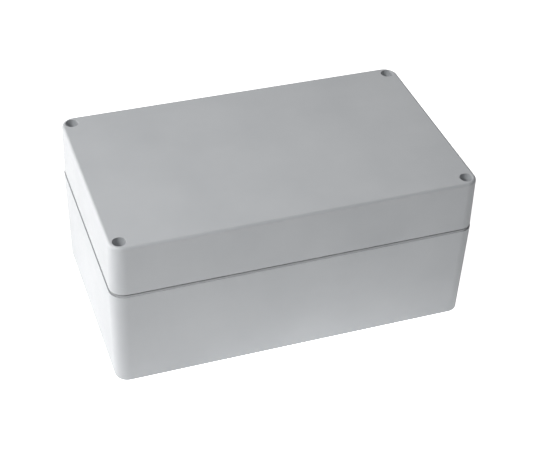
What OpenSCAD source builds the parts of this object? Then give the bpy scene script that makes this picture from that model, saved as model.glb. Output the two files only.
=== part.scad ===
// Two-part wall-mounting enclosure: a deep base, and a lid held down by four captive screws
// sunk in its corners. A seal in the lid presses on a tongue that runs inside the corner towers
// of the base, so the lid screws and the mounting holes stay outside the sealed space.
// Origin at the centre of the underside, +X along the length, +Z up. Millimetres and degrees.

/* [Outside] */
// Overall length, measured along the seam
length = 200; // [150:1:400]
// Overall width, measured along the seam
width = 120; // [90:1:300]
// Overall height
height = 90; // [75:1:180]
// Height of the lid's outer wall
lid_height = 29.6; // [24:0.1:45]
// Radius of the upright corners
corner_radius = 8; // [5:0.1:8.5]
// Draft of the walls
draft = 0.9; // [0.3:0.1:1.2]
// Rounding along the top edge of the lid
top_rounding = 1.6; // [0.5:0.1:2.5]
// Rounding along the foot of the base
foot_rounding = 0.6; // [0.3:0.1:2.5]

/* [Walls] */
// Thickness of the upright walls
wall = 3.2; // [2.5:0.1:4]
// Thickness of the floor of the base
floor_thickness = 3; // [2:0.1:5]
// Thickness of the roof of the lid
roof_thickness = 3; // [2:0.1:5]
// Rounding inside, where the walls meet the floor and the roof
inner_rounding = 1.5; // [0.5:0.1:2.5]

/* [Seam] */
// Open gap between the lid and the rim of the base
seam_gap = 0.7; // [0.4:0.1:2]
// Height of the set-back band under the gap
band_height = 1; // [0.6:0.1:3]
// Depth of the set-back band along the sides
band_depth = 0.25; // [0.1:0.05:1]
// Depth of the set-back band at the ends
band_end_depth = 0.75; // [0.1:0.05:1]
// Distance that each end of the lid stands back from the end of the base
lid_setback = 0.25; // [0:0.05:0.5]
// Rounding of the two edges along the seam
seam_rounding = 0.2; // [0.1:0.05:0.35]

/* [Seal] */
// Thickness of the tongue that presses on the seal
tongue_thickness = 1.3; // [1:0.1:1.6]
// Height of the tongue above the rim of the base
tongue_height = 3; // [2:0.1:5]
// Depth of the tongue's root in the wall under it
tongue_root = 1; // [0.5:0.1:2]
// Distance of the tongue from the inner edge of the rim
tongue_setback = 0.2; // [0.1:0.05:0.4]
// Play between the tongue and each side of its groove
tongue_play = 0.4; // [0.2:0.05:0.6]
// Height of the seal, pressed down
gasket_height = 2; // [1:0.1:4]
// Play between the seal and each side of its groove
gasket_play = 0.15; // [0.05:0.05:0.3]
// Thickness of the lid's lip inside the groove
lip_thickness = 1.6; // [1:0.1:2.5]
// Material left above the groove
groove_roof = 2.5; // [1.5:0.1:4]

/* [Lid screws] */
// Distance of each screw from the two outer faces at its corner
screw_inset = 6.5; // [6:0.1:8]
// Depth of the screw heads below the top of the lid
head_depth = 6; // [2:0.1:9]
// Diameter of the screw head
head_d = 6.4; // [5.5:0.1:7]
// Height of the screw head
head_height = 2.6; // [2:0.1:4]
// Play round the head in its sunk hole
head_play = 0.3; // [0.2:0.05:0.6]
// Outer diameter of the thread
thread_d = 4; // [3:0.1:4.5]
// Length of the threaded end
thread_length = 10; // [8:0.5:12]
// How far the thread reaches down into the insert
thread_reach = 7.5; // [5:0.5:7.5]
// Depth of the waist above the thread, which keeps the screw in the lid
waist_depth = 0.45; // [0.4:0.05:0.6]
// Play round the waist in the neck of the lid's hole
neck_play = 0.2; // [0.1:0.05:0.25]
// Height of that neck
neck_height = 3; // [2:0.1:5]
// Play round the thread in the holes it passes through
thread_play = 0.4; // [0.2:0.05:0.6]
// Wall of the lid's screw columns round the sunk hole
column_wall = 2.2; // [1.5:0.1:3]
// Width of the arms of the cross recess
recess_width = 1.1; // [0.6:0.1:1.4]
// Length of the cross recess, from tip to tip
recess_length = 4; // [3:0.1:5]
// Depth of the cross recess
recess_depth = 1.5; // [1:0.1:1.8]

/* [Threaded inserts] */
// Play between the thread and the insert
insert_play = 0.05; // [0.02:0.01:0.1]
// Wall of the insert
insert_wall = 0.75; // [0.5:0.05:1]
// Length of the insert
insert_length = 8; // [8:0.5:12]
// Land round the insert that the lid's columns stand on
foot_land = 1.5; // [1:0.1:2]
// Depth of the cored hole below the insert
core_depth = 8; // [2:0.5:15]

/* [Wall mounting] */
// Diameter of the mounting holes through the floor
mount_hole_d = 4.5; // [3:0.1:5.5]
// Diameter of the channel that leads down to each mounting hole
mount_channel_d = 7.4; // [6.5:0.1:7.8]
// Wall between a threaded insert and the channel beside it
channel_wall = 4; // [2:0.1:8]
// Wall of the corner towers towards the inside
tower_wall = 2.6; // [2.4:0.1:4]
// Rounding of the inner corner of each tower
tower_rounding = 2.5; // [2:0.1:3]

/* [Board bosses] */
// Distance of the bosses from the ends of the enclosure
boss_inset_x = 25; // [18:0.5:40]
// Distance of the bosses from the long sides of the enclosure
boss_inset_y = 20; // [18:0.5:30]
// Diameter of the bosses
boss_d = 7; // [5.5:0.1:9]
// Height of the bosses above the floor
boss_height = 6; // [3:0.1:12]
// Diameter of the pilot holes in the bosses
boss_hole_d = 2.9; // [2:0.1:3.5]
// Material left under the pilot holes
boss_hole_floor = 2; // [1:0.1:3]

/* [Hidden] */
housing_grey = [0.70, 0.71, 0.72];
seal_black = [0.13, 0.13, 0.14];
steel = [0.68, 0.68, 0.69];
brass = [0.78, 0.62, 0.30];
$fn = 64;
arc_steps = 8;
// Extra length of a cut past the face that it opens, and of a block inside the one it stands on
past = 1;

// Heights, from the ledge under the band up to the shelf over the groove
lid_z = height - lid_height;
rim_z = lid_z - seam_gap;
ledge_z = rim_z - band_height;
tongue_z = rim_z + tongue_height;
groove_z = tongue_z + gasket_height;
shelf_z = groove_z + groove_roof;
roof_z = height - roof_thickness;
boss_z = floor_thickness + boss_height;

// Distances in from the outline, along a straight wall
tongue_in = wall - tongue_setback;
tongue_out = tongue_in - tongue_thickness;
groove_in = tongue_in + tongue_play;
groove_out = tongue_out - tongue_play;
lip_inset = groove_in + lip_thickness;
smallest_bend = 0.6;
inner_corner = ceil(1 + inner_rounding + height * tan(draft));

// Lid screw, its holes and its insert
head_hole_d = head_d + 2 * head_play;
column_d = head_hole_d + 2 * column_wall;
waist_d = thread_d - 2 * waist_depth;
neck_d = waist_d + 2 * neck_play;
thread_hole_d = thread_d + 2 * thread_play;
insert_bore_d = thread_d + 2 * insert_play;
insert_d = insert_bore_d + 2 * insert_wall;
column_foot_d = insert_d + 2 * foot_land;
head_top_z = height - head_depth;
head_seat_z = head_top_z - head_height;
neck_z = head_seat_z - neck_height;
tip_z = rim_z - thread_reach;
thread_top_z = tip_z + thread_length;
insert_z = rim_z - insert_length;
head_chamfer = 0.3;
tip_chamfer = 0.6;
insert_chamfer = 0.3;

// Places of the screws, mounting holes and bosses, and the size of the corner towers
screw_x = length / 2 - screw_inset;
screw_y = width / 2 - screw_inset;
mount_offset = insert_d / 2 + channel_wall + mount_channel_d / 2;
mount_x = screw_x - mount_offset;
boss_x = length / 2 - boss_inset_x;
boss_y = width / 2 - boss_inset_y;
tower_x = screw_inset + mount_offset + mount_channel_d / 2 + tower_wall;
tower_y = screw_inset + mount_channel_d / 2 + tower_wall;

function arc(centre, radius, from, to) =
    [for (i = [0 : arc_steps])
        let (angle = from + (to - from) * i / arc_steps)
        centre + radius * [cos(angle), sin(angle)]];
function mirrored_x(points) = [for (i = [len(points) - 1 : -1 : 0]) [-points[i].x, points[i].y]];
function half_turned(points) = [for (point = points) -point];
function last(points) = points[len(points) - 1];
// Points in whole micrometres, so that the runs and corners of one profile meet exactly
function in_microns(points) = [for (point = points) [for (value = point) round(value * 1000) / 1000]];

// Edge profiles list the points of a wall's face from bottom to top, as [distance out, height].
// The distance is measured from the middle of the block, or from the axis of its corner.
wide_angle = 45 + draft / 2;
steep_angle = 45 - draft / 2;

// Outside of the base up to the ledge: rounded foot, drafted wall and rounded ledge
base_edge = function (reach)
    let (foot = reach - ledge_z * tan(draft))
    concat(
        arc([foot - foot_rounding * tan(steep_angle), foot_rounding], foot_rounding, -90, -draft),
        arc([reach - seam_rounding * tan(wide_angle), ledge_z - seam_rounding],
            seam_rounding, -draft, 90)
    );

// Set-back band of the base, which rises from inside the ledge to the rim
band_edge = function (reach) [[reach, ledge_z - past], [reach, rim_z]];

// Inside of the base: rounded floor and drafted wall, opening past the rim
base_cavity_edge = function (reach)
    let (
        foot = reach - (rim_z - floor_thickness) * tan(draft),
        centre = [foot - inner_rounding * tan(steep_angle), floor_thickness + inner_rounding]
    )
    concat(
        arc(centre, inner_rounding, -90, -draft),
        [[reach + past * tan(draft), rim_z + past]]
    );

// Outside of the lid: rounded lower edge, drafted wall and rounded top edge
lid_edge = function (reach)
    let (top = reach - lid_height * tan(draft))
    concat(
        arc([reach - seam_rounding * tan(wide_angle), lid_z + seam_rounding],
            seam_rounding, -90, draft),
        arc([top - top_rounding * tan(steep_angle), height - top_rounding], top_rounding, draft, 90)
    );

// Inside of the lid above its shelf: drafted wall and rounded roof
lid_cavity_edge = function (reach)
    let (
        top = reach - (roof_z - lid_z) * tan(draft),
        centre = [top - inner_rounding * tan(steep_angle), roof_z - inner_rounding]
    )
    concat(
        [[reach - (shelf_z - lid_z) * tan(draft), shelf_z]],
        arc(centre, inner_rounding, draft, 90)
    );

// Outline of the sealed space at a distance in from the outline.
// It steps in round the corner towers, with the same bends all along the seal.
function sealed_quarter(inset) =
    let (
        grow = inset - wall,
        bend = max(corner_radius - inset, smallest_bend),
        tower_bend = max(tower_rounding + grow, smallest_bend),
        end = length / 2 - inset,
        side = width / 2 - inset,
        step_x = length / 2 - tower_x - grow,
        step_y = width / 2 - tower_y - grow
    )
    concat(
        arc([end - bend, step_y - bend], bend, 0, 90),
        arc([step_x + tower_bend, step_y + tower_bend], tower_bend, 270, 180),
        arc([step_x - bend, side - bend], bend, 0, 90)
    );
function sealed_outline(inset) =
    let (
        quarter = sealed_quarter(inset),
        half = concat(quarter, mirrored_x(quarter))
    )
    concat(half, half_turned(half));

module in_four_corners(x, y) {
    for (mirror_x = [0, 1], mirror_y = [0, 1])
        mirror([mirror_x, 0, 0])
            mirror([0, mirror_y, 0])
                translate([x, y, 0])
                    children();
}

module turned(profile) {
    rotate_extrude()
        polygon(profile);
}

// Straight run of an edge profile, the same on both sides of the middle
module straight_run(run_length, edge_points) {
    rotate([90, 0, 0])
        linear_extrude(run_length, center = true)
            polygon(concat(edge_points, mirrored_x(edge_points)));
}

// Block with an edge profile carried all round it, along the sides and round the corners
module profiled_block(block_length, block_width, radius, edge) {
    straight_run(block_width - 2 * radius, in_microns(edge(block_length / 2)));
    rotate(90)
        straight_run(block_length - 2 * radius, in_microns(edge(block_width / 2)));
    corner = in_microns(edge(radius));
    in_four_corners(block_length / 2 - radius, block_width / 2 - radius)
        rotate_extrude(angle = 90)
            polygon(concat([[0, corner[0].y]], corner, [[0, last(corner).y]]));
}

// Upright band that follows the seal, between two distances in from the outline
module seal_band(inset_out, inset_in, bottom, top) {
    translate([0, 0, bottom])
        linear_extrude(top - bottom)
            difference() {
                polygon(sealed_outline(inset_out));
                polygon(sealed_outline(inset_in));
            }
}

module hole(d, bottom, top) {
    translate([0, 0, bottom])
        cylinder(d = d, h = top - bottom);
}

// Solid corner of the base, drawn out to the outline and used where it fills the cavity
module corner_tower() {
    bends = sealed_quarter(wall);
    linear_extrude(rim_z + 2 * past)
        polygon(concat(
            bends,
            [[last(bends).x, width / 2], [length / 2, width / 2], [length / 2, bends[0].y]]
        ));
}

module base_cavity() {
    difference() {
        profiled_block(length - 2 * wall, width - 2 * wall, inner_corner, base_cavity_edge);
        in_four_corners(0, 0)
            corner_tower();
        in_four_corners(boss_x, boss_y)
            hole(boss_d, 0, boss_z);
    }
}

module base_block() {
    profiled_block(length, width, corner_radius, base_edge);
    profiled_block(
        length - 2 * band_end_depth,
        width - 2 * band_depth,
        corner_radius - band_depth,
        band_edge
    );
}

module base() {
    color(housing_grey)
        difference() {
            union() {
                difference() {
                    base_block();
                    base_cavity();
                }
                seal_band(tongue_out, tongue_in, rim_z - tongue_root, tongue_z);
            }
            in_four_corners(screw_x, screw_y) {
                hole(insert_d, insert_z, rim_z + past);
                hole(thread_hole_d, insert_z - core_depth, rim_z);
            }
            in_four_corners(mount_x, screw_y) {
                hole(mount_channel_d, floor_thickness, rim_z + past);
                hole(mount_hole_d, -past, floor_thickness + past);
            }
            in_four_corners(boss_x, boss_y)
                hole(boss_hole_d, boss_hole_floor, boss_z + past);
        }
}

module lid_cavity() {
    difference() {
        profiled_block(length - 2 * wall, width - 2 * wall, inner_corner, lid_cavity_edge);
        in_four_corners(screw_x, screw_y)
            hole(column_d, lid_z, height);
    }
    translate([0, 0, lid_z - past])
        linear_extrude(shelf_z - lid_z + 2 * past)
            polygon(sealed_outline(lip_inset));
}

module lid() {
    color(housing_grey)
        difference() {
            union() {
                profiled_block(length - 2 * lid_setback, width, corner_radius, lid_edge);
                in_four_corners(screw_x, screw_y)
                    hole(column_foot_d, rim_z, lid_z + past);
            }
            lid_cavity();
            seal_band(groove_out, groove_in, lid_z - past, groove_z);
            in_four_corners(screw_x, screw_y) {
                hole(head_hole_d, head_seat_z, height + past);
                hole(neck_d, neck_z - past, head_seat_z + past);
                hole(thread_hole_d, rim_z - past, neck_z);
            }
        }
}

module gasket() {
    color(seal_black)
        seal_band(groove_out + gasket_play, groove_in - gasket_play, tongue_z, groove_z);
}

module lid_screw() {
    head_r = head_d / 2;
    waist_r = waist_d / 2;
    thread_r = thread_d / 2;
    difference() {
        turned([
            [0, tip_z],
            [thread_r - tip_chamfer, tip_z],
            [thread_r, tip_z + tip_chamfer],
            [thread_r, thread_top_z],
            [waist_r, thread_top_z + waist_depth],
            [waist_r, head_seat_z],
            [head_r, head_seat_z],
            [head_r, head_top_z - head_chamfer],
            [head_r - head_chamfer, head_top_z],
            [0, head_top_z]
        ]);
        for (turn = [0, 90])
            translate([0, 0, head_top_z])
                rotate(turn)
                    cube([recess_length, recess_width, 2 * recess_depth], center = true);
    }
}

module lid_screws() {
    color(steel)
        in_four_corners(screw_x, screw_y)
            lid_screw();
}

module threaded_insert() {
    outer_r = insert_d / 2;
    bore_r = insert_bore_d / 2;
    turned([
        [bore_r, insert_z],
        [outer_r - insert_chamfer, insert_z],
        [outer_r, insert_z + insert_chamfer],
        [outer_r, rim_z],
        [bore_r + insert_chamfer, rim_z],
        [bore_r, rim_z - insert_chamfer]
    ]);
}

module threaded_inserts() {
    color(brass)
        in_four_corners(screw_x, screw_y)
            threaded_insert();
}

base();
lid();
gasket();
lid_screws();
threaded_inserts();
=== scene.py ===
import math

import bmesh
import bpy
from mathutils import Matrix, Quaternion, Vector


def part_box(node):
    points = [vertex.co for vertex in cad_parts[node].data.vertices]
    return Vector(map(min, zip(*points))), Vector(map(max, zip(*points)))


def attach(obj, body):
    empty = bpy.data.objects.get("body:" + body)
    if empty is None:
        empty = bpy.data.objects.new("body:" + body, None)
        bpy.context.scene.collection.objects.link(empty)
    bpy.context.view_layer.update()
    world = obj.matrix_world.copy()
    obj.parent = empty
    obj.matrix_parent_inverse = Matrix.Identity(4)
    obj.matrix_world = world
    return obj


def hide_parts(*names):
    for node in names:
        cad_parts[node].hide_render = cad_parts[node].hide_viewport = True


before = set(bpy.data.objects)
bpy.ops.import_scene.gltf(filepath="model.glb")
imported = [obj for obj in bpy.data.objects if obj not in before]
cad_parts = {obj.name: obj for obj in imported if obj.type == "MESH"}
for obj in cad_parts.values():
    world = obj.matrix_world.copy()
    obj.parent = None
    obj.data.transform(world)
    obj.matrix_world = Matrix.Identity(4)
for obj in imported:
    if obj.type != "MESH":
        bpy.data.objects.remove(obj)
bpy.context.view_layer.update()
scene = bpy.context.scene

# Base: a deep box with a tower in each corner, injection moulded in one piece of light grey
# plastic. Its mould is spark eroded, which leaves a fine dull grain, and the tongue along its
# rim presses into the seal of the lid.
MM = 0.001
MERGE_DISTANCE = 0.0001 * MM
FLAT_ANGLE = 0.002
SHARP_ANGLE = math.radians(40)
MOULDED_EDGE = 0.1 * MM
NOISE_LOW, NOISE_HIGH = 0.3, 0.7
PLASTIC_TONES = (0.505, 0.523, 0.542, 1), (0.545, 0.562, 0.580, 1)
# Painted shade: the darker tones of the recessed band and rim under the lid.
SHADED_TONES = (0.427, 0.441, 0.458, 1), (0.460, 0.475, 0.490, 1)
SPARK_ERODED = {
    "tone_size": 40 * MM,
    "dullness": (0.42, 0.50),
    "dull_spot_size": 2.5 * MM,
    "grain_size": 0.35 * MM,
    "grain_depth": 0.02 * MM,
    "grain_strength": 0.35,
    "IOR": 1.5,
}
# Painted shade at both ends of the box, fading in between these distances from the middle.
SHADE_AT_ENDS = (0.68, 0.68, 0.68, 1)
SHADE_FADE_START, SHADE_FADE_END = 93 * MM, 98.5 * MM
SHADED_BOTTOM, SHADED_TOP = 58.4 * MM, 59.75 * MM
MIX_SHARE, MIX_FIRST, MIX_SECOND, MIX_RESULT = 0, 6, 7, 2


def procedural(name, **sockets):
    """New material with its fixed values set on the shader, and its nodes, links and shader."""
    material = bpy.data.materials.new(name)
    material.use_nodes = True
    nodes = material.node_tree.nodes
    shader = nodes["Principled BSDF"]
    for socket, value in sockets.items():
        shader.inputs[socket.replace("_", " ")].default_value = value
    return material, nodes, material.node_tree.links, shader


def noise_in_place(nodes, links, grain_size, detail, stretch=(1, 1, 1)):
    """Noise on the object's own coordinates, with grains of about that size in metres."""
    place = nodes.new("ShaderNodeTexCoord")
    turn = nodes.new("ShaderNodeMapping")
    turn.inputs["Scale"].default_value = [share / grain_size for share in stretch]
    noise = nodes.new("ShaderNodeTexNoise")
    noise.inputs["Scale"].default_value = 1
    noise.inputs["Detail"].default_value = detail
    links.new(place.outputs["Object"], turn.inputs["Vector"])
    links.new(turn.outputs["Vector"], noise.inputs["Vector"])
    return noise.outputs["Fac"]


def spread(nodes, links, value, low, high):
    """The middle of a noise's values spread out from low to high."""
    ramp = nodes.new("ShaderNodeMapRange")
    ramp.inputs["From Min"].default_value = NOISE_LOW
    ramp.inputs["From Max"].default_value = NOISE_HIGH
    ramp.inputs["To Min"].default_value = low
    ramp.inputs["To Max"].default_value = high
    links.new(value, ramp.inputs["Value"])
    return ramp.outputs["Result"]


def two_tones(nodes, links, value, dark, light):
    """Colour between two close tones."""
    ramp = nodes.new("ShaderNodeValToRGB")
    ramp.color_ramp.elements[0].position = NOISE_LOW
    ramp.color_ramp.elements[0].color = dark
    ramp.color_ramp.elements[1].position = NOISE_HIGH
    ramp.color_ramp.elements[1].color = light
    links.new(value, ramp.inputs["Fac"])
    return ramp.outputs["Color"]


def relief(nodes, links, shader, value, depth, strength):
    """Bump of that depth in metres on the shader."""
    bump = nodes.new("ShaderNodeBump")
    bump.inputs["Distance"].default_value = depth
    bump.inputs["Strength"].default_value = strength
    links.new(value, bump.inputs["Height"])
    links.new(bump.outputs["Normal"], shader.inputs["Normal"])


def surface(
    name,
    tones,
    tone_size,
    dullness,
    dull_spot_size,
    grain_size,
    grain_depth,
    grain_strength,
    grain_detail=2,
    grain_stretch=(1, 1, 1),
    **sockets,
):
    """Material in two close tones, with uneven gloss and a fine grain."""
    material, nodes, links, shader = procedural(name, **sockets)
    patches = noise_in_place(nodes, links, tone_size, detail=3)
    links.new(two_tones(nodes, links, patches, *tones), shader.inputs["Base Color"])
    spots = noise_in_place(nodes, links, dull_spot_size, detail=2)
    links.new(spread(nodes, links, spots, *dullness), shader.inputs["Roughness"])
    grain = noise_in_place(nodes, links, grain_size, grain_detail, grain_stretch)
    relief(nodes, links, shader, grain, grain_depth, grain_strength)
    return material


def darken_towards_ends(material):
    """Painted shade: darken the band's tone towards both ends of the box, where the band is
    deeper.
    """
    nodes, links = material.node_tree.nodes, material.node_tree.links
    colour = nodes["Principled BSDF"].inputs["Base Color"]
    place = nodes.new("ShaderNodeTexCoord")
    along = nodes.new("ShaderNodeSeparateXYZ")
    from_middle = nodes.new("ShaderNodeMath")
    from_middle.operation = "ABSOLUTE"
    thickness = nodes.new("ShaderNodeMapRange")
    thickness.inputs["From Min"].default_value = SHADE_FADE_START
    thickness.inputs["From Max"].default_value = SHADE_FADE_END
    darker = nodes.new("ShaderNodeMix")
    darker.data_type = "RGBA"
    darker.blend_type = "MULTIPLY"
    darker.inputs[MIX_SECOND].default_value = SHADE_AT_ENDS
    links.new(place.outputs["Object"], along.inputs["Vector"])
    links.new(along.outputs["X"], from_middle.inputs[0])
    links.new(from_middle.outputs["Value"], thickness.inputs["Value"])
    links.new(thickness.outputs["Result"], darker.inputs[MIX_SHARE])
    links.new(colour.links[0].from_socket, darker.inputs[MIX_FIRST])
    links.new(darker.outputs[MIX_RESULT], colour)


def moulded_shape(node, edge_radius):
    """Copy of a node's solid, with its flat faces made whole and its outer edges rounded."""
    bm = bmesh.new()
    bm.from_mesh(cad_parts[node].data)
    bmesh.ops.remove_doubles(bm, verts=bm.verts, dist=MERGE_DISTANCE)
    bmesh.ops.dissolve_limit(bm, angle_limit=FLAT_ANGLE, verts=bm.verts, edges=bm.edges)
    outer = [edge for edge in bm.edges if edge.is_convex]
    sharp = [edge for edge in outer if edge.calc_face_angle(0) > SHARP_ANGLE]
    bmesh.ops.bevel(
        bm,
        geom=sharp,
        offset=edge_radius,
        offset_type="OFFSET",
        affect="EDGES",
        segments=2,
        profile=0.5,
        material=-1,
    )
    return bm


def finished(name, bm, materials, body, node):
    """Piece from a finished shape, smooth but for its sharp edges, which stands for its node."""
    for face in bm.faces:
        face.smooth = True
    for edge in bm.edges:
        edge.smooth = edge.calc_face_angle(0) < SHARP_ANGLE
    mesh = bpy.data.meshes.new(name)
    bm.to_mesh(mesh)
    bm.free()
    # A copy of a solid brings along its old normals, which don't suit the rounded edges.
    if "custom_normal" in mesh.attributes:
        mesh.attributes.remove(mesh.attributes["custom_normal"])
    for material in materials:
        mesh.materials.append(material)
    piece = bpy.data.objects.new(name, mesh)
    scene.collection.objects.link(piece)
    even = piece.modifiers.new("even_shading", "WEIGHTED_NORMAL")
    even.keep_sharp = True
    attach(piece, body)
    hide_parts(node)


grey_plastic = surface("grey_plastic", PLASTIC_TONES, **SPARK_ERODED)
# Painted shade for the recess under the lid, in a darker tone of the same plastic.
painted_shade_plastic = surface("painted_shade_plastic", SHADED_TONES, **SPARK_ERODED)
# The painted shade on the band grows darker towards both ends of the box.
darken_towards_ends(painted_shade_plastic)
bm = moulded_shape("base", MOULDED_EDGE)
# The band that stands back under the lid and the rim above it are painted a shade darker,
# as painted shade for the recess between the two halves.
for face in bm.faces:
    heights = [vert.co.z for vert in face.verts]
    if SHADED_BOTTOM < min(heights) and max(heights) < SHADED_TOP:
        face.material_index = 1
finished("base_moulding", bm, (grey_plastic, painted_shade_plastic), "base", "base")

# Threaded inserts: four turned brass bushes with a knurled outside, pressed hot into the corner
# towers, level with the rim. The lid screws bite into them, so each has a 4 mm inner thread.
FULL_TURN = 2 * math.pi
WELD_DISTANCE = 0.001 * MM
THREAD_PITCH = 0.7 * MM
HALF_PITCH = 0.35 * MM
THREAD_STEPS = 32
SPARE_TURNS = 3
SCREW_PLACES = [(x * 93.5 * MM, y * 53.5 * MM) for x in (-1, 1) for y in (-1, 1)]
INSERT_LOW, INSERT_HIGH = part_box("threaded_inserts")
INSERT_BOTTOM, INSERT_TOP = INSERT_LOW.z, INSERT_HIGH.z
INSERT_MIDDLE = INSERT_BOTTOM + (INSERT_TOP - INSERT_BOTTOM) / 2
INSERT_RADIUS = 2.8 * MM
COLLAR_RADIUS = 2.6 * MM
GROOVE_RADIUS = 2.5 * MM
FACE_RADIUS = 2.3 * MM
BORE_RADIUS = 2.05 * MM
INNER_CREST_RADIUS = 1.65 * MM
LEAD_CHAMFER = 0.3 * MM
GROOVE_HALF = 0.3 * MM
COLLAR_HEIGHT = 0.3 * MM
KNURL_START = 0.5 * MM
KNURL_DEPTH = 0.16 * MM
KNURL_STEPS = 72


def one_pitch(middle_radius, middle_half, side_radius, side_half):
    """Profile of one turn of a thread: its middle, two slopes, and its two sides."""
    return [
        (side_radius, -HALF_PITCH),
        (side_radius, -side_half),
        (middle_radius, -middle_half),
        (middle_radius, middle_half),
        (side_radius, side_half),
        (side_radius, HALF_PITCH),
    ]


def profile_line(bm, profile, start=0):
    """Open line through points of radius and height, as what a spin turns."""
    points = [bm.verts.new((radius, 0, start + height)) for radius, height in profile]
    return points + [bm.edges.new(pair) for pair in zip(points, points[1:])]


def spun_thread(profile, bottom, top):
    """Thread surface of one profile carried up a helix, cut level at both ends.

    Every thread starts at a whole number of pitches, so that screws and inserts mesh.
    """
    bm = bmesh.new()
    turns = math.ceil((top - bottom) / THREAD_PITCH) + SPARE_TURNS
    start = (math.floor(bottom / THREAD_PITCH) - 1) * THREAD_PITCH
    bmesh.ops.spin(
        bm,
        geom=profile_line(bm, profile, start),
        cent=(0, 0, 0),
        axis=(0, 0, 1),
        dvec=(0, 0, THREAD_PITCH / THREAD_STEPS),
        angle=FULL_TURN * turns,
        steps=THREAD_STEPS * turns,
        use_merge=False,
    )
    bmesh.ops.remove_doubles(bm, verts=bm.verts, dist=WELD_DISTANCE)
    for level, side in ((bottom, -1), (top, 1)):
        everything = bm.verts[:] + bm.edges[:] + bm.faces[:]
        bmesh.ops.bisect_plane(
            bm, geom=everything, plane_co=(0, 0, level), plane_no=(0, 0, side), clear_outer=True
        )
    return bm


def open_edges(bm, level):
    """Edges at one height that have one face."""
    rim = [edge for edge in bm.edges if edge.is_boundary]
    return [edge for edge in rim if all(abs(v.co.z - level) < WELD_DISTANCE for v in edge.verts)]


def spun(bm, profile, steps):
    """Profile of radius and height turned once round the upright axis."""
    bmesh.ops.spin(
        bm,
        geom=profile_line(bm, profile),
        cent=(0, 0, 0),
        axis=(0, 0, 1),
        angle=FULL_TURN,
        steps=steps,
        use_merge=True,
    )
    bmesh.ops.remove_doubles(bm, verts=bm.verts, dist=WELD_DISTANCE)


def corners_of(geometry):
    """The vertices among mixed geometry."""
    return [item for item in geometry if isinstance(item, bmesh.types.BMVert)]


def in_four_places(bm):
    """The shape at each of the four corners, with its faces turned outwards."""
    bmesh.ops.recalc_face_normals(bm, faces=bm.faces)
    one = bm.verts[:] + bm.edges[:] + bm.faces[:]
    for x, y in SCREW_PLACES[1:]:
        copy = bmesh.ops.duplicate(bm, geom=one)["geom"]
        bmesh.ops.translate(bm, verts=corners_of(copy), vec=(x, y, 0))
    bmesh.ops.translate(bm, verts=corners_of(one), vec=(*SCREW_PLACES[0], 0))


inner_thread = one_pitch(
    middle_radius=BORE_RADIUS,
    middle_half=0.12 * MM,
    side_radius=INNER_CREST_RADIUS,
    side_half=0.28 * MM,
)
bm = spun_thread(inner_thread, INSERT_BOTTOM, INSERT_TOP)
bush = [
    (FACE_RADIUS, INSERT_BOTTOM),
    (GROOVE_RADIUS, INSERT_BOTTOM),
    (INSERT_RADIUS, INSERT_BOTTOM + LEAD_CHAMFER),
    (INSERT_RADIUS, INSERT_MIDDLE - KNURL_START),
    (GROOVE_RADIUS, INSERT_MIDDLE - GROOVE_HALF),
    (GROOVE_RADIUS, INSERT_MIDDLE + GROOVE_HALF),
    (INSERT_RADIUS, INSERT_MIDDLE + KNURL_START),
    (INSERT_RADIUS, INSERT_TOP - KNURL_START),
    (COLLAR_RADIUS, INSERT_TOP - COLLAR_HEIGHT),
    (COLLAR_RADIUS, INSERT_TOP),
    (FACE_RADIUS, INSERT_TOP),
]
spun(bm, bush, KNURL_STEPS)
for vert in bm.verts:
    reach = math.hypot(vert.co.x, vert.co.y)
    tooth = round(math.atan2(vert.co.y, vert.co.x) / FULL_TURN * KNURL_STEPS) % 2
    if tooth and reach > INSERT_RADIUS - WELD_DISTANCE:
        vert.co.xy *= 1 - KNURL_DEPTH / INSERT_RADIUS
for level in (INSERT_BOTTOM, INSERT_TOP):
    bmesh.ops.triangle_fill(bm, use_beauty=True, edges=open_edges(bm, level))
in_four_places(bm)

turned_brass = surface(
    "turned_brass",
    tones=((0.60, 0.41, 0.15, 1), (0.78, 0.57, 0.25, 1)),
    tone_size=1.2 * MM,
    dullness=(0.24, 0.40),
    dull_spot_size=0.5 * MM,
    grain_size=0.12 * MM,
    grain_depth=0.01 * MM,
    grain_strength=0.3,
    grain_stretch=(0.2, 0.2, 1),
    Metallic=1.0,
)
finished("brass_inserts", bm, (turned_brass,), "base", "threaded_inserts")

# Lid: the upper half of the box, moulded in the same plastic. A groove for the seal runs inside
# its edge, and four columns in its corners carry the sunk holes of the captive screws.
bm = moulded_shape("lid", MOULDED_EDGE)
finished("lid_moulding", bm, (grey_plastic,), "lid", "lid")

# Seal: an endless bead of black foamed rubber, laid in the groove of the lid. Closing the lid
# presses it on the tongue of the base, so its lower side is flat and its edges are soft.
SEAL_EDGE = 0.45 * MM
bm = moulded_shape("gasket", SEAL_EDGE)
black_foam = surface(
    "black_foam",
    tones=((0.016, 0.016, 0.017, 1), (0.040, 0.040, 0.042, 1)),
    tone_size=0.6 * MM,
    dullness=(0.60, 0.85),
    dull_spot_size=0.8 * MM,
    grain_size=0.25 * MM,
    grain_depth=0.05 * MM,
    grain_strength=0.6,
    grain_detail=3,
    IOR=1.45,
)
finished("foam_seal", bm, (black_foam,), "lid", "gasket")

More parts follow.
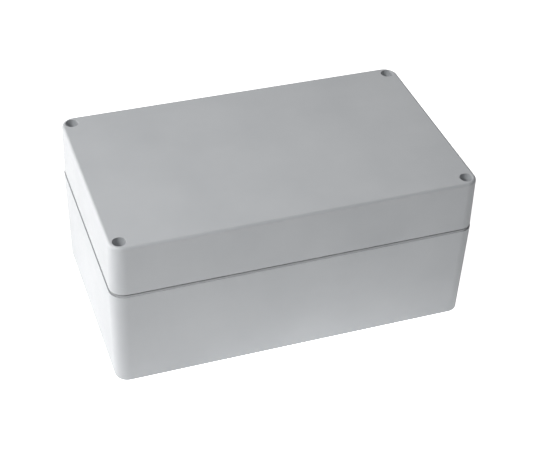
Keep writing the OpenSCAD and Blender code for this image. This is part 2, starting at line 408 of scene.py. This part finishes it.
# Lid screws: four stainless screws with a cross recess, sunk deep in the corners of the lid.
# A thin waist above the rolled thread keeps each one in the lid when it is undone.
SCREW_LOW, SCREW_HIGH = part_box("lid_screws")
TIP, HEAD_TOP = SCREW_LOW.z, SCREW_HIGH.z
HEAD_RADIUS = 3.2 * MM
HEAD_HEIGHT = 2.6 * MM
HEAD_SEAT = HEAD_TOP - HEAD_HEIGHT
HEAD_STEPS = 48
SEAT_CHAMFER = 0.15 * MM
CROWN_DROP, CROWN_INSET = 0.45 * MM, 0.4 * MM
SHOULDER_DROP, SHOULDER_INSET = 0.2 * MM, 0.12 * MM
THREAD_RADIUS = 2.0 * MM
ROOT_RADIUS = 1.57 * MM
THREAD_LENGTH = 10 * MM
WAIST_RADIUS = 1.55 * MM
WAIST_SINK = 0.5 * MM
NECK_FILLET = 0.2 * MM
TIP_CHAMFER = 0.6 * MM
TIP_NARROWING = 0.7
RECESS_REACH = 2.0 * MM
RECESS_HALF = 0.5 * MM
RECESS_DEPTH = 1.4 * MM
RECESS_TAPER = 0.62

outer_thread = one_pitch(
    middle_radius=THREAD_RADIUS,
    middle_half=0.06 * MM,
    side_radius=ROOT_RADIUS,
    side_half=0.25 * MM,
)
thread_bottom, thread_top = TIP + TIP_CHAMFER, TIP + THREAD_LENGTH
bm = spun_thread(outer_thread, thread_bottom, thread_top)
tip = bmesh.ops.extrude_edge_only(bm, edges=open_edges(bm, thread_bottom))["geom"]
bmesh.ops.scale(bm, verts=corners_of(tip), vec=(TIP_NARROWING, TIP_NARROWING, 1))
bmesh.ops.translate(bm, verts=corners_of(tip), vec=(0, 0, -TIP_CHAMFER))
bmesh.ops.edgeloop_fill(bm, edges=open_edges(bm, TIP))
bmesh.ops.edgeloop_fill(bm, edges=open_edges(bm, thread_top))
waist_and_head = [
    (0, thread_top - WAIST_SINK),
    (WAIST_RADIUS, thread_top - WAIST_SINK),
    (WAIST_RADIUS, HEAD_SEAT - NECK_FILLET),
    (WAIST_RADIUS + NECK_FILLET, HEAD_SEAT),
    (HEAD_RADIUS - SEAT_CHAMFER, HEAD_SEAT),
    (HEAD_RADIUS, HEAD_SEAT + SEAT_CHAMFER),
    (HEAD_RADIUS, HEAD_TOP - CROWN_DROP),
    (HEAD_RADIUS - SHOULDER_INSET, HEAD_TOP - SHOULDER_DROP),
    (HEAD_RADIUS - CROWN_INSET, HEAD_TOP),
]
spun(bm, waist_and_head, HEAD_STEPS)
arm = (RECESS_HALF, RECESS_HALF), (RECESS_REACH, RECESS_HALF), (RECESS_REACH, -RECESS_HALF)
cross = []
for quarter in range(4):
    turn = Matrix.Rotation(quarter * FULL_TURN / 4, 4, "Z")
    cross += [bm.verts.new(turn @ Vector((x, y, HEAD_TOP))) for x, y in arm]
order = sorted(cross, key=lambda v: math.atan2(v.co.y, v.co.x))
cross_edges = [bm.edges.new(pair) for pair in zip(order, order[1:] + order[:1])]
recess = bmesh.ops.extrude_edge_only(bm, edges=cross_edges)["geom"]
bmesh.ops.scale(bm, verts=corners_of(recess), vec=(RECESS_TAPER, RECESS_TAPER, 1))
bmesh.ops.translate(bm, verts=corners_of(recess), vec=(0, 0, -RECESS_DEPTH))
for level in (HEAD_TOP - RECESS_DEPTH, HEAD_TOP):
    bmesh.ops.triangle_fill(bm, use_beauty=True, edges=open_edges(bm, level))
in_four_places(bm)

rolled_steel = surface(
    "rolled_steel",
    tones=((0.52, 0.52, 0.53, 1), (0.66, 0.66, 0.67, 1)),
    tone_size=1.5 * MM,
    dullness=(0.22, 0.38),
    dull_spot_size=0.6 * MM,
    grain_size=0.15 * MM,
    grain_depth=0.008 * MM,
    grain_strength=0.3,
    Metallic=1.0,
)
finished("captive_screws", bm, (rolled_steel,), "lid", "lid_screws")

# Floor and light: a white table that glows a little, most of all in front of the box, so that
# hardly any shadow shows on it. The main soft box stands high on the left, a second and slightly
# warm one lower behind it, and two weak ones high in front and behind on the right.
FLOOR_HALF = 4.0
FLOOR_WHITE = (0.85, 0.85, 0.85, 1)
FLOOR_GLOW = 0.36
POOL_GLOW = 0.96
POOL_CENTRE = Vector((0.01, -0.07, 0))
POOL_REACH = Vector((0.16, 0.07, 0.07))
SEEN_GLOW = 0.60
LIGHT_AIM = Vector((0, 0, 0.05))
WARM_WHITE = (1, 0.97, 0.95)

bm = bmesh.new()
bmesh.ops.create_grid(bm, x_segments=1, y_segments=1, size=FLOOR_HALF)
mesh = bpy.data.meshes.new("floor")
bm.to_mesh(mesh)
bm.free()
white_table, nodes, links, shader = procedural(
    "white_table", Base_Color=FLOOR_WHITE, Roughness=0.7, Emission_Color=(1, 1, 1, 1)
)
place = nodes.new("ShaderNodeTexCoord")
about_pool = nodes.new("ShaderNodeMapping")
to_pool = [-centre / reach for centre, reach in zip(POOL_CENTRE, POOL_REACH)]
about_pool.inputs["Scale"].default_value = [1 / reach for reach in POOL_REACH]
about_pool.inputs["Location"].default_value = to_pool
pool = nodes.new("ShaderNodeTexGradient")
pool.gradient_type = "SPHERICAL"
glow = nodes.new("ShaderNodeMapRange")
glow.inputs["To Min"].default_value = FLOOR_GLOW
glow.inputs["To Max"].default_value = POOL_GLOW
links.new(place.outputs["Object"], about_pool.inputs["Vector"])
links.new(about_pool.outputs["Vector"], pool.inputs["Vector"])
links.new(pool.outputs["Fac"], glow.inputs["Value"])
seen = nodes.new("ShaderNodeLightPath")
whitening = nodes.new("ShaderNodeMath")
whitening.operation = "MULTIPLY_ADD"
whitening.inputs[1].default_value = SEEN_GLOW
links.new(seen.outputs["Is Camera Ray"], whitening.inputs[0])
links.new(glow.outputs["Result"], whitening.inputs[2])
links.new(whitening.outputs["Value"], shader.inputs["Emission Strength"])
mesh.materials.append(white_table)
floor = bpy.data.objects.new("floor", mesh)
scene.collection.objects.link(floor)


def soft_box(name, place, size, watts, colour=(1, 1, 1)):
    """Square area light at a place, turned to shine on the box."""
    lamp = bpy.data.lights.new(name, "AREA")
    lamp.shape = "SQUARE"
    lamp.size = size
    lamp.energy = watts
    lamp.color = colour
    light = bpy.data.objects.new(name, lamp)
    light.location = place
    light.rotation_mode = "QUATERNION"
    light.rotation_quaternion = (LIGHT_AIM - light.location).to_track_quat("-Z", "Y")
    scene.collection.objects.link(light)


soft_box("left_box", place=(-0.62, -0.166, 0.766), size=0.25, watts=5.9)
soft_box("side_box", place=(-0.84, 0.447, 0.309), size=0.5, watts=5.8, colour=WARM_WHITE)
soft_box("front_box", place=(0.0, -0.9, 1.15), size=0.8, watts=2.5)
soft_box("back_box", place=(0.5, 0.8, 0.8), size=0.6, watts=1.6)

# Room: the space beyond the table, which is white to the camera and gives only a little light,
# so that the soft boxes shape the plastic.
ROOM_LIGHT = 0.01
studio = bpy.data.worlds.new("studio")
studio.use_nodes = True
nodes, links = studio.node_tree.nodes, studio.node_tree.links
room = nodes["Background"]
room.inputs["Color"].default_value = (1, 1, 1, 1)
seen = nodes.new("ShaderNodeLightPath")
brightness = nodes.new("ShaderNodeMapRange")
brightness.inputs["To Min"].default_value = ROOM_LIGHT
links.new(seen.outputs["Is Camera Ray"], brightness.inputs["Value"])
links.new(brightness.outputs["Result"], room.inputs["Strength"])
scene.world = studio

# Camera: a long lens in front of the box, to the left and well above it, held a little askew.
CAMERA_AIM = Vector((-3.28, -20.92, 55.16)) * MM
CAMERA_DISTANCE = 713.2 * MM
CAMERA_AZIMUTH = math.radians(-20.46)
CAMERA_ELEVATION = math.radians(38.42)
CAMERA_ROLL = math.radians(2.40)
CAMERA_LENS = 87.97
towards = Vector(
    (
        math.sin(CAMERA_AZIMUTH) * math.cos(CAMERA_ELEVATION),
        -math.cos(CAMERA_AZIMUTH) * math.cos(CAMERA_ELEVATION),
        math.sin(CAMERA_ELEVATION),
    )
)
roll = Quaternion((0, 0, 1), CAMERA_ROLL)
camera = bpy.data.objects.new("camera", bpy.data.cameras.new("camera"))
camera.data.lens = CAMERA_LENS
camera.location = CAMERA_AIM + towards * CAMERA_DISTANCE
camera.rotation_mode = "QUATERNION"
camera.rotation_quaternion = (-towards).to_track_quat("-Z", "Y") @ roll
scene.collection.objects.link(camera)
scene.camera = camera
scene.view_settings.view_transform = "Standard"
